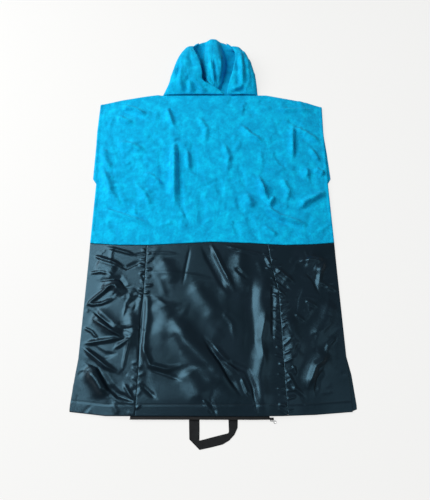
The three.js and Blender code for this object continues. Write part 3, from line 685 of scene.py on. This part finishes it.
@dataclass
class Hood:
    """The hood: two halves joined by the crown seam, open upwards."""

    rows: int = 78
    columns: int = 120
    wall: float = TERRY
    under_edge: float = 16.0
    rim_swell: float = 1.4
    hem: float = 14.0  # depth of the hem round the face opening
    rim_groove: float = 0.6
    column_step: float = 1.6  # about how far apart the columns and the rows are
    row_step: float = 2.9
    seam_lap: float = 0.15  # each half reaches this far past the crown seam, so no light shows
    seam_dip: float = 1.2  # the stitched line of the crown seam lies this much deeper
    crown_drop: float = 18.0  # the arch of the crown: how far its sides fall back
    crown_half: float = 60.0
    crown_from: float = 190.0
    flat: tuple[float, float] = (0.30, 0.25)

    def column(self, name: str, up: Array, side: int | None = None) -> Array:
        """One column of the hood's table, eased through its rows at each `up`."""
        keys = [row.up for row in HOOD_ROWS]
        values = [getattr(row, name) for row in HOOD_ROWS]
        if side is not None:
            values = [pair[side] for pair in values]
        tangents = np.gradient(values, keys)
        i = np.clip(np.searchsorted(keys, up, side="right") - 1, 0, len(keys) - 2)
        h = np.take(keys, i + 1) - np.take(keys, i)
        t = (up - np.take(keys, i)) / h
        low, high = np.take(values, i), np.take(values, i + 1)
        slope_low, slope_high = np.take(tangents, i), np.take(tangents, i + 1)
        return ((2 * t**3 - 3 * t**2 + 1) * low + (t**3 - 2 * t**2 + t) * h * slope_low
                + (3 * t**2 - 2 * t**3) * high + (t**3 - t**2) * h * slope_high)

    def half_curve(self, side: int, up: Array) -> Array:
        """Half of each section, from the rim over the side and along the floor to the seam.

        Args:
            side: 0 for the left half, 1 for the right one.
            up: Distances from the neckline.

        Returns:
            Grid (rows, columns, 2) of x and z.
        """
        edge, lobe, rim, rim_z, tongue = (
            self.column(name, up, side) for name in ("edge", "lobe", "rim", "rim_z", "tongue"))
        seam, seam_z = self.column("seam", up), self.column("seam_z", up)
        floor = self.column("floor", up) + self.wall / 2
        seam_z = np.maximum(seam_z, floor)
        out = -1 if side == 0 else 1
        span = np.abs(edge - tongue)
        under = edge - out * np.minimum(self.under_edge, span * 0.3)
        foot = tongue + out * np.minimum(9, span * 0.25)
        corners = np.array([
            [rim, rim_z],
            [rim + (edge - rim) * 0.5, lobe],
            [rim + (edge - rim) * 0.86, floor + (lobe - floor) * 0.86],
            [edge, floor + (lobe - floor) * 0.45],
            [under, floor],
            [(under + foot) / 2, floor],
            [foot, floor],
            [tongue, floor + (seam_z - floor) * 0.45],
            [tongue + (seam - tongue) * 0.45, floor + (seam_z - floor) * 0.93],
            [seam, seam_z],
        ])
        return self.through(corners)

    def through(self, corners: Array) -> Array:
        """A smooth curve through the corners of every section at once."""
        first = 2 * corners[0] - corners[1]
        last = 2 * corners[-1] - corners[-2]
        p = np.concatenate([first[None], corners, last[None]])
        t = np.linspace(0, len(corners) - 1, self.columns + 1)
        i = np.minimum(t.astype(int), len(corners) - 2)
        f = (t - i)[:, None, None]
        a, b, c, d = p[i], p[i + 1], p[i + 2], p[i + 3]
        tight = 0.42
        curve = (b + f * tight * (c - a)
                 + f**2 * (3 * (c - b) - tight * (2 * (c - a) + (d - b)))
                 + f**3 * (2 * (b - c) + tight * ((c - a) + (d - b))))
        return curve.transpose(2, 0, 1)

    def surface(self) -> tuple[Array, Array]:
        """The middle surface from the left rim to the right one, and its normals, into the hood."""
        up = np.linspace(0, HOOD_ROWS[-1].up, self.rows + 1)
        left, right = self.half_curve(0, up), self.half_curve(1, up)
        across = np.concatenate([left, right[:, -2::-1]], axis=1)
        x, z = across[..., 0], np.maximum(across[..., 1], self.wall / 2)
        arch = self.crown_drop * smooth(up, self.crown_from, HOOD_ROWS[-1].up)[:, None]
        y = NECKLINE + SEAM_GAP + up[:, None] - arch * (x / self.crown_half) ** 2
        points = np.stack([x, y, z], -1)
        along = np.gradient(points, axis=1)
        upward = np.gradient(points, axis=0)
        normal = np.cross(along, upward)
        normal /= np.maximum(np.linalg.norm(normal, axis=-1, keepdims=True), 1e-9)
        return points, normal

    def creased(self, points: Array, normal: Array) -> Array:
        """The surface with its folds, which show on the lobes and on the tongue."""
        up = points[..., 1] - NECKLINE
        x = points[..., 0]
        count = points.shape[1]
        place = np.arange(count) / (count - 1)
        lobe = np.broadcast_to(smooth(np.abs(place - 0.5), 0.28, 0.34), x.shape)
        middle = np.broadcast_to(1 - smooth(np.abs(place - 0.5), 0.06, 0.12), x.shape)
        folds = sum(crease.lift(x, up) for crease in LOBE_CREASES) * lobe
        folds = folds + sum(crease.lift(x, up) for crease in THROAT_CREASES) * middle
        small = Crumple((-160, 10), (160, 220), 60, (20, 60), (4, 8), 2.0, ROLL, 31)
        folds = folds + sum(crease.lift(x, up) for crease in small.creases()) * np.maximum(lobe, middle)
        folds *= smooth(up, 0, 12)
        return points + normal * folds[..., None]

    def thickness(self, shape: tuple[int, int]) -> Array:
        """Wall of the hood, with a swollen hem round the face opening."""
        rows, count = shape
        place = np.arange(count)
        from_rim = np.minimum(place, count - 1 - place)[None, :] * self.column_step
        from_top = (rows - 1 - np.arange(rows))[:, None] * self.row_step
        inside = np.minimum(from_rim, from_top)
        relief = hem_relief(inside, self.hem, self.rim_swell, self.rim_groove)
        return (self.wall + relief) * (0.3 + 0.7 * rounded(inside, self.wall, 0.05))

    def build(self, materials: dict[str, bpy.types.Material]) -> list[bpy.types.Object]:
        """Both halves of the hood as closed shells."""
        points, normal = self.surface()
        points = self.creased(points, normal)
        wall = self.thickness(points.shape[:2])[..., None]
        made = []
        for name, half in (("hood_left", -1), ("hood_right", 1)):
            skins = []
            for reach in (0.5, -0.5):
                skin = points + normal * wall * reach
                skin[..., 1] = np.maximum(skin[..., 1], NECKLINE + SEAM_GAP)
                skin[0, :, 1] = NECKLINE + SEAM_GAP
                skin[..., 2] = np.maximum(skin[..., 2], 0)
                seam = self.columns
                skin[:, seam, 0] = points[:, seam, 0] - half * self.seam_lap
                if reach > 0:
                    skin[:, seam, 2] -= self.seam_dip
                skins.append(skin[:, : seam + 1] if half < 0 else skin[:, seam:])
            piece = mesh_object(name + "_cloth", *shell(*skins), materials[Cloth.TERRY.value])
            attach(piece, BODY)
            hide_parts(name)
            made.append(piece)
        return made


# ------------------------------------------------------------------ handle and zip

HANDLE_ROWS = (  # inner x and y, outer x and y, height of the underside
    (-33, 32, -63, 32, 1.8), (-33, 0, -63, 0, 1.8), (-33, -12, -63, -12, 0), (-32.5, -40, -62, -40, 0),
    (-32.5, -66, -61, -64, 0), (-32.2, -66.6, -47, -77, 0.2), (-31.6, -66.8, -32, -91, 0.3),
    (0, -59, 1, -84.5, 0), (32, -51.5, 33, -77, 0), (46, -48.5, 51, -67, 0), (49.5, -46, 66, -52, 0),
    (50, -41, 75, -34, 0), (49, -12, 76, -12, 0), (48.5, 0, 76, 0, 1.8), (48.5, 32, 76, 32, 1.8),
)


@dataclass
class Handle:
    """The carry handle: ribbed webbing that leaves the hem, folds over at a corner and returns."""

    ribs: int = 9
    rib_depth: float = 0.22
    strap: float = 30.0  # about its width
    weave_pitch: float = 2.2
    weave_depth: float = 0.05
    steps: int = 190
    across: int = 54

    def build(self, materials: dict[str, bpy.types.Material]) -> bpy.types.Object:
        """The webbing as a closed ribbed strap."""
        rows = np.array(HANDLE_ROWS, dtype=float)
        middle = (rows[:, 0:2] + rows[:, 2:4]) / 2
        length = np.concatenate([[0], np.cumsum(np.linalg.norm(np.diff(middle, axis=0), axis=1) + 2)])
        at = np.linspace(0, length[-1], self.steps)
        ix, iy, ox, oy, z = (np.interp(at, length, rows[:, k]) for k in range(5))
        z = np.convolve(np.pad(z, 4, mode="edge"), np.ones(9) / 9, mode="valid")
        share = np.linspace(0, 1, self.across)
        x = ix[:, None] + (ox - ix)[:, None] * share
        y = iy[:, None] + (oy - iy)[:, None] * share
        ribs = self.rib_depth * np.abs(np.sin(math.pi * self.ribs * share)) ** 0.7
        border = 0.35 + 0.65 * rounded(np.minimum(share, 1 - share) * self.strap, 1.0, 0)
        weave = self.weave_depth * np.sin(at * math.tau / self.weave_pitch)[:, None]
        top = z[:, None] + (WEBBING - self.rib_depth + ribs)[None, :] * border[None, :] + weave
        low = np.broadcast_to(z[:, None], x.shape)
        outer, inner = np.stack([x, y, top], -1), np.stack([x, y, low], -1)
        made = mesh_object("carry_handle_webbing", *shell(outer, inner), materials["webbing"])
        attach(made, BODY)
        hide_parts("carry_handle")
        return made


class Repeat:
    """A geometry-nodes tree that sets a small shape along a line at an even pitch."""

    def __init__(self, name: str) -> None:
        """Makes the tree with its named inputs."""
        self.tree = bpy.data.node_groups.new(name, "GeometryNodeTree")
        face = self.tree.interface
        face.new_socket("Line", in_out="INPUT", socket_type="NodeSocketGeometry")
        kinds = {"Shape": "NodeSocketObject", "Pitch": "NodeSocketFloat", "Finish": "NodeSocketMaterial"}
        self.inputs = {
            name: face.new_socket(name, in_out="INPUT", socket_type=kind).identifier
            for name, kind in kinds.items()
        }
        face.new_socket("Result", in_out="OUTPUT", socket_type="NodeSocketGeometry")
        nodes, links = self.tree.nodes, self.tree.links
        start, end = nodes.new("NodeGroupInput"), nodes.new("NodeGroupOutput")
        curve = nodes.new("GeometryNodeMeshToCurve")
        points = nodes.new("GeometryNodeCurveToPoints")
        points.mode = "LENGTH"
        shape = nodes.new("GeometryNodeObjectInfo")
        place = nodes.new("GeometryNodeInstanceOnPoints")
        real = nodes.new("GeometryNodeRealizeInstances")
        dress = nodes.new("GeometryNodeSetMaterial")
        for source, output, target, socket in (
            (start, "Line", curve, "Mesh"),
            (curve, "Curve", points, "Curve"),
            (start, "Pitch", points, "Length"),
            (start, "Shape", shape, "Object"),
            (points, "Points", place, "Points"),
            (points, "Rotation", place, "Rotation"),
            (shape, "Geometry", place, "Instance"),
            (place, "Instances", real, "Geometry"),
            (real, "Geometry", dress, "Geometry"),
            (start, "Finish", dress, "Material"),
            (dress, "Geometry", end, "Result"),
        ):
            links.new(source.outputs[output], target.inputs[socket])

    def along(self, name: str, line: Array, shape: bpy.types.Object, pitch: float,
              material: bpy.types.Material) -> bpy.types.Object:
        """The shape repeated along a line, as one plain mesh.

        Args:
            name: The piece's name.
            line: Rows of points in the garment's frame.
            shape: The small object to repeat.
            pitch: Distance from one to the next, in millimetres.
            material: Its finish.

        Returns:
            The linked object.
        """
        mesh = bpy.data.meshes.new(name + "_line")
        mesh.from_pydata(in_row_frame(line).tolist(), [(i, i + 1) for i in range(len(line) - 1)], [])
        carrier = bpy.data.objects.new(name + "_line", mesh)
        bpy.context.scene.collection.objects.link(carrier)
        modifier = carrier.modifiers.new("repeat", "NODES")
        modifier.node_group = self.tree
        modifier[self.inputs["Shape"]] = shape
        modifier[self.inputs["Pitch"]] = pitch * MM
        modifier[self.inputs["Finish"]] = material
        bpy.context.view_layer.update()
        evaluated = carrier.evaluated_get(bpy.context.evaluated_depsgraph_get())
        result = bpy.data.meshes.new_from_object(evaluated)
        result.name = name
        bpy.data.objects.remove(carrier)
        made = bpy.data.objects.new(name, result)
        bpy.context.scene.collection.objects.link(made)
        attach(made, BODY)
        return made


def small_bar(name: str, length: float, width: float, sides: int = 6) -> bpy.types.Object:
    """A short bar with rounded ends along z, as a stitch or a tooth, hidden from the scene.

    Args:
        name: The bar's name.
        length: Its length in millimetres.
        width: Its greatest width in millimetres.
        sides: Sides round it.

    Returns:
        The object, not linked to the scene.
    """
    rings = ((-0.5, 0.3), (-0.3, 0.9), (0.0, 1.0), (0.3, 0.9), (0.5, 0.3))
    points = []
    for share, girth in rings:
        for k in range(sides):
            turn = math.tau * k / sides
            points.append((girth * width / 2 * math.cos(turn) * MM, girth * width / 2 * math.sin(turn) * MM,
                           share * length * MM))
    mesh = bpy.data.meshes.new(name)
    mesh.from_pydata(points, [], tube_faces(len(rings), sides))
    return bpy.data.objects.new(name, mesh)


@dataclass
class Stitching:
    """The rows of stitches that show along the armholes, the hem and the waist seam."""

    pitch: float = 4.2
    length: float = 3.2
    width: float = 0.7
    sink: float = 0.15

    def rows(self, panels: dict[str, Panel]) -> dict[str, tuple[Array, str]]:
        """Each row of stitches: its points on the cloth and the slot of its thread."""
        upper = panels["front_upper"]
        found = {}
        y = np.linspace(752, 1052, 160)
        found["stitches_armhole_left"] = (upper.surface(FRONT_LEFT(y) + 11, y), Cloth.TERRY.value)
        found["stitches_armhole_right"] = (upper.surface(FRONT_RIGHT(y) - 11, y), Cloth.TERRY.value)
        for name, left, right in (("front_lower_left", -396, -222), ("front_lower_centre", -208, 208),
                                  ("front_lower_right", 222, 396)):
            panel = panels[name]
            x = np.linspace(left, right, int((right - left) / 2))
            found["stitches_hem_" + name.split("_")[-1]] = (
                panel.surface(x, FRONT_HEM(x) + 31), Cloth.COATED.value)
            x = x * 0.98
            found["stitches_waist_" + name.split("_")[-1]] = (
                panel.surface(x, WAIST_SEAM(x) - 6), Cloth.COATED.value)
        return found

    def build(self, repeat: Repeat, panels: dict[str, Panel],
              materials: dict[str, bpy.types.Material]) -> list[bpy.types.Object]:
        """Every row of stitches as one mesh each."""
        stitch = small_bar("stitch", self.length, self.width)
        made = []
        for name, (line, slot) in self.rows(panels).items():
            line = line - (0, 0, self.sink)
            piece = repeat.along(name, line, stitch, self.pitch, materials[slot + "_thread"])
            made.append(piece)
        return made


@dataclass
class HemZip:
    """The zip under the front hem: rounded tape, and teeth along the closed chain."""

    reach: float = 6.0
    chain: float = 2.5
    low: float = 3.9
    high: float = 8.1
    tooth_pitch: float = 1.7
    tooth_length: float = 1.0
    tooth_width: float = 1.5

    def section(self) -> list[tuple[float, float]]:
        """The tape's section: y from the hem and z, going round."""
        front = -self.reach - self.chain
        return [(6, 6.1), (-3, 6.15), (-5.4, 6.4), (-6, 7.6), (front + 0.5, self.high - 0.1),
                (front, 7.4), (front, 4.6), (front + 0.5, self.low + 0.1), (-6, 4.3), (-5.2, 4.9), (6, 4.9)]

    def build(self, repeat: Repeat, materials: dict[str, bpy.types.Material]) -> list[bpy.types.Object]:
        """The tape with its bead, and the two rows of teeth."""
        section = self.section()
        x = np.linspace(*ZIP_SPAN, 160)
        ring = np.array([[(xi, float(FRONT_HEM(xi)) + y, z) for y, z in section] for xi in x])
        faces = tube_faces(*ring.shape[:2])
        tape = mesh_object("hem_zip_tape", ring.reshape(-1, 3), faces, materials["zip_tape"])
        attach(tape, BODY)
        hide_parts("hem_zip")
        made = [tape]
        tooth = small_bar("tooth", self.tooth_length, self.tooth_width)
        for name, z in (("zip_teeth_upper", 6.9), ("zip_teeth_lower", 5.1)):
            line = np.stack([x, FRONT_HEM(x) - self.reach - self.chain - 0.1, np.full(x.shape, z)], -1)
            teeth = repeat.along(name, line, tooth, self.tooth_pitch, materials["zip_tape"])
            made.append(teeth)
        return made


# ------------------------------------------------------------------ finishes

@dataclass(frozen=True)
class Noise:
    """A noise pattern on object coordinates."""

    scale: float
    detail: float = 3.0
    roughness: float = 0.55
    stretch: tuple[float, float, float] = (1.0, 1.0, 1.0)


@dataclass(frozen=True)
class Finish:
    """A cloth or metal finish, made of shader nodes."""

    name: str
    tones: tuple[tuple[float, tuple[float, float, float]], ...]  # place on the ramp and linear colour
    mottle: Noise
    roughness: float
    bumps: tuple[tuple[Noise, float, float], ...] = ()  # pattern, strength, depth in millimetres
    metallic: float = 0.0
    sheen: float = 0.0
    sheen_roughness: float = 0.5
    sheen_tint: tuple[float, float, float] = (1.0, 1.0, 1.0)
    specular: float = 0.5
    specular_tint: tuple[float, float, float] = (1.0, 1.0, 1.0)
    weave: float = 0.0  # threads' pitch in millimetres

    def pattern(self, tree: bpy.types.NodeTree, noise: Noise) -> bpy.types.NodeSocket:
        """A noise texture's output in the tree."""
        nodes, links = tree.nodes, tree.links
        where = nodes.new("ShaderNodeTexCoord")
        turn = nodes.new("ShaderNodeMapping")
        turn.inputs["Scale"].default_value = noise.stretch
        texture = nodes.new("ShaderNodeTexNoise")
        texture.inputs["Scale"].default_value = noise.scale
        texture.inputs["Detail"].default_value = noise.detail
        texture.inputs["Roughness"].default_value = noise.roughness
        links.new(where.outputs["Object"], turn.inputs["Vector"])
        links.new(turn.outputs["Vector"], texture.inputs["Vector"])
        return texture.outputs["Fac"]

    def threads(self, tree: bpy.types.NodeTree) -> bpy.types.NodeSocket:
        """A plain weave's height in the tree."""
        nodes, links = tree.nodes, tree.links
        where = nodes.new("ShaderNodeTexCoord")
        waves = []
        for axis in ("X", "Y"):
            wave = nodes.new("ShaderNodeTexWave")
            wave.bands_direction = axis
            wave.inputs["Scale"].default_value = 1 / (self.weave * MM * math.tau) * 2
            links.new(where.outputs["Object"], wave.inputs["Vector"])
            waves.append(wave)
        product = nodes.new("ShaderNodeMath")
        product.operation = "MULTIPLY"
        links.new(waves[0].outputs["Fac"], product.inputs[0])
        links.new(waves[1].outputs["Fac"], product.inputs[1])
        return product.outputs[0]

    def make(self) -> bpy.types.Material:
        """The finish as a Blender material."""
        material = bpy.data.materials.new(self.name)
        material.use_nodes = True
        tree = material.node_tree
        nodes, links = tree.nodes, tree.links
        shader = nodes["Principled BSDF"]
        ramp = nodes.new("ShaderNodeValToRGB")
        stops = ramp.color_ramp.elements
        for k, (place, colour) in enumerate(self.tones):
            stop = stops[k] if k < 2 else stops.new(place)
            stop.position = place
            stop.color = (*colour, 1)
        links.new(self.pattern(tree, self.mottle), ramp.inputs["Fac"])
        links.new(ramp.outputs["Color"], shader.inputs["Base Color"])
        settings = {"Roughness": self.roughness, "Metallic": self.metallic,
                    "Specular IOR Level": self.specular, "Specular Tint": (*self.specular_tint, 1),
                    "Sheen Weight": self.sheen, "Sheen Roughness": self.sheen_roughness,
                    "Sheen Tint": (*self.sheen_tint, 1)}
        for name, value in settings.items():
            shader.inputs[name].default_value = value
        previous = None
        heights = [(self.pattern(tree, noise), strength, depth) for noise, strength, depth in self.bumps]
        if self.weave:
            heights.append((self.threads(tree), 0.3, 0.12))
        for height, strength, depth in heights:
            bump = nodes.new("ShaderNodeBump")
            bump.inputs["Strength"].default_value = strength
            bump.inputs["Distance"].default_value = depth * MM
            links.new(height, bump.inputs["Height"])
            if previous:
                links.new(previous.outputs["Normal"], bump.inputs["Normal"])
            previous = bump
        if previous:
            links.new(previous.outputs["Normal"], shader.inputs["Normal"])
        return material


TERRY_TONES = ((0.30, (0.001, 0.29, 0.56)), (0.50, (0.0012, 0.41, 0.73)), (0.70, (0.002, 0.58, 0.92)))
COATED_TONES = ((0.35, (0.003, 0.006, 0.010)), (0.65, (0.005, 0.009, 0.015)))

FINISHES = {
    "towelling": Finish("towelling", TERRY_TONES, Noise(34, 7, 0.7), 0.95,
                        ((Noise(60, 5, 0.65), 0.7, 5.0), (Noise(420, 2, 0.6), 0.6, 1.2)),
                        sheen=0.12, sheen_roughness=0.45, sheen_tint=(0.25, 0.8, 1.0), specular=0.1),
    "coated_cloth": Finish("coated_cloth", COATED_TONES, Noise(9, 3), 0.31,
                           ((Noise(45, 3, 0.5), 0.25, 1.4),),
                           specular=0.62, specular_tint=(0.34, 0.74, 1.0), weave=0.9),
    "webbing": Finish("webbing", ((0.3, (0.004, 0.005, 0.006)), (0.7, (0.009, 0.011, 0.013))),
                      Noise(60), 0.75,
                      ((Noise(300), 0.4, 0.4),), specular=0.3, weave=1.1),
    "zip_tape": Finish("zip_tape", ((0.3, (0.005, 0.006, 0.007)), (0.7, (0.01, 0.011, 0.012))),
                       Noise(80), 0.6,
                       ((Noise(400), 0.3, 0.3),), specular=0.4),
    "slider_metal": Finish("slider_metal", ((0.3, (0.02, 0.02, 0.022)), (0.7, (0.04, 0.04, 0.044))),
                           Noise(200), 0.35, metallic=0.7),
    "pull_metal": Finish("pull_metal", ((0.3, (0.50, 0.51, 0.52)), (0.7, (0.66, 0.67, 0.68))), Noise(300),
                         0.28, metallic=1.0),
    "towelling_thread": Finish("towelling_thread", ((0.3, (0.001, 0.24, 0.50)), (0.7, (0.002, 0.33, 0.64))),
                               Noise(200), 0.8, specular=0.2),
    "coated_cloth_thread": Finish("coated_cloth_thread",
                                  ((0.3, (0.01, 0.015, 0.02)), (0.7, (0.02, 0.03, 0.04))),
                                  Noise(200), 0.6, specular=0.4),
}


# ------------------------------------------------------------------ room

@dataclass
class Studio:
    """The pale floor, the soft light and the camera above the hem, tilted towards the hood."""

    height: float = 1322.0
    place: tuple[float, float] = (11.0, 19.8)
    tilt: float = 20.0
    lens: float = 31.18
    floor_size: float = 8.0

    def camera(self) -> None:
        """The camera."""
        data = bpy.data.cameras.new("camera")
        data.lens = self.lens
        data.sensor_width = 36.0
        data.clip_start = 0.01
        made = bpy.data.objects.new("camera", data)
        made.location = in_row_frame((*self.place, self.height))
        made.rotation_euler = (math.radians(self.tilt), 0, 0)
        bpy.context.scene.collection.objects.link(made)
        bpy.context.scene.camera = made

    def floor(self) -> None:
        """A plain pale floor that shows as white and keeps the object's shadow."""
        half = self.floor_size / 2
        mesh = bpy.data.meshes.new("floor")
        mesh.from_pydata([(-half, -half, 0), (half, -half, 0), (half, half, 0), (-half, half, 0)], [],
                         [(0, 1, 2, 3)])
        made = bpy.data.objects.new("floor", mesh)
        bpy.context.scene.collection.objects.link(made)
        made.location.z = -0.0004
        material = bpy.data.materials.new("floor")
        material.use_nodes = True
        nodes, links = material.node_tree.nodes, material.node_tree.links
        nodes.clear()
        paint = nodes.new("ShaderNodeBsdfDiffuse")
        paint.inputs["Color"].default_value = FLOOR_PAINT
        glow = nodes.new("ShaderNodeEmission")
        glow.inputs["Color"].default_value = BACKDROP
        path = nodes.new("ShaderNodeLightPath")
        share = nodes.new("ShaderNodeMath")
        share.operation = "MULTIPLY"
        share.inputs[1].default_value = 0.8
        mix = nodes.new("ShaderNodeMixShader")
        out = nodes.new("ShaderNodeOutputMaterial")
        links.new(path.outputs["Is Camera Ray"], share.inputs[0])
        links.new(share.outputs[0], mix.inputs["Fac"])
        links.new(paint.outputs[0], mix.inputs[1])
        links.new(glow.outputs[0], mix.inputs[2])
        links.new(mix.outputs[0], out.inputs["Surface"])
        mesh.materials.append(material)

    def lamp(self, name: str, place: tuple[float, float, float], size: tuple[float, float], watts: float,
             aim: tuple[float, float, float] = (0, 0, 0)) -> None:
        """A soft rectangular lamp that points at `aim`."""
        data = bpy.data.lights.new(name, "AREA")
        data.shape = "RECTANGLE"
        data.size, data.size_y = size
        data.energy = watts
        made = bpy.data.objects.new(name, data)
        made.location = place
        made.rotation_euler = (Vector(place) - Vector(aim)).to_track_quat("Z", "Y").to_euler()
        bpy.context.scene.collection.objects.link(made)

    def light(self) -> None:
        """A large soft lamp over the left side, a weak one opposite, and a dim room."""
        self.lamp("key", (-1.88, 0.5, 1.9), (2.0, 2.6), 100.0)
        self.lamp("fill", (1.6, -0.8, 2.2), (1.5, 1.5), 5.0)
        world = bpy.data.worlds.new("room")
        world.use_nodes = True
        nodes, links = world.node_tree.nodes, world.node_tree.links
        room = nodes["Background"]
        room.inputs["Strength"].default_value = 0.18
        seen = nodes.new("ShaderNodeBackground")
        seen.inputs["Color"].default_value = BACKDROP
        path = nodes.new("ShaderNodeLightPath")
        mix = nodes.new("ShaderNodeMixShader")
        room.inputs["Color"].default_value = (1, 1, 1, 1)
        links.new(path.outputs["Is Camera Ray"], mix.inputs["Fac"])
        links.new(room.outputs[0], mix.inputs[1])
        links.new(seen.outputs[0], mix.inputs[2])
        links.new(mix.outputs[0], nodes["World Output"].inputs["Surface"])
        bpy.context.scene.world = world

    def build(self) -> None:
        """Everything that isn't the robe."""
        self.camera()
        self.floor()
        self.light()
        bpy.context.scene.view_settings.view_transform = "Standard"


# ------------------------------------------------------------------ the robe

def cut_panels() -> dict[str, Panel]:
    """The cut panels of the front and the back, by name."""
    gap = SEAM_GAP / 2
    above, below = WAIST_SEAM.moved(gap), WAIST_SEAM.moved(-gap)
    upper = {"left": 11.0, "right": 11.0, "bottom": 5.0}
    lower = {"hems": {"bottom": 30.0}, "hem_swell": 0.7, "rests_on": ("back_lower_cloth",)}
    panels = [
        Panel("front_upper", Cloth.TERRY, FRONT_LEFT, FRONT_RIGHT, above, SHOULDER, TERRY, 3.7,
              hems=upper, flat=(0.82, 0.60), rests_on=("back_upper_cloth",)),
        Panel("back_upper", Cloth.TERRY, BACK_LEFT, BACK_RIGHT, above, SHOULDER, TERRY, 6.0,
              front=False, flat=(0.83, 0.60), rests_on=("floor",)),
        Panel("front_lower_left", Cloth.COATED, FRONT_LEFT, SEAM_LEFT.moved(-gap), FRONT_HEM, below,
              COATED, 2.6, flat=(0.20, 0.53), **lower),
        Panel("front_lower_centre", Cloth.COATED, SEAM_LEFT.moved(gap), SEAM_RIGHT.moved(-gap),
              FRONT_HEM, below, COATED, 2.8, flat=(0.44, 0.53), **lower),
        Panel("front_lower_right", Cloth.COATED, SEAM_RIGHT.moved(gap), FRONT_RIGHT, FRONT_HEM, below,
              COATED, 2.6, flat=(0.22, 0.53), **lower),
        Panel("back_lower", Cloth.COATED, BACK_LEFT, BACK_RIGHT, BACK_HEM, below, COATED, 6.0,
              front=False, flat=(0.83, 0.53), rests_on=("floor",)),
    ]
    return {panel.name: panel for panel in panels}


def main() -> None:
    """Builds the room and every piece in order."""
    logging.basicConfig(level=logging.INFO, format="%(message)s")
    studio = Studio()
    studio.build()
    materials = {name: finish.make() for name, finish in FINISHES.items()}
    panels = cut_panels()
    for panel in panels.values():
        made = panel.build(materials)
        log.info("%s: %d faces", made.name, len(made.data.polygons))
    for made in Hood().build(materials):
        log.info("%s: %d faces", made.name, len(made.data.polygons))
    log.info("%s", Handle().build(materials).name)
    repeat = Repeat("set along a line")
    for made in [*HemZip().build(repeat, materials), *Stitching().build(repeat, panels, materials)]:
        log.info("%s: %d faces", made.name, len(made.data.polygons))
    for node, finish in (("zip_slider", "slider_metal"), ("zip_pull", "pull_metal")):
        carried = bpy.data.objects[node]
        carried.data.materials.clear()
        carried.data.materials.append(materials[finish])
        log.info("%s: dressed", node)


if __name__ == "__main__":
    main()
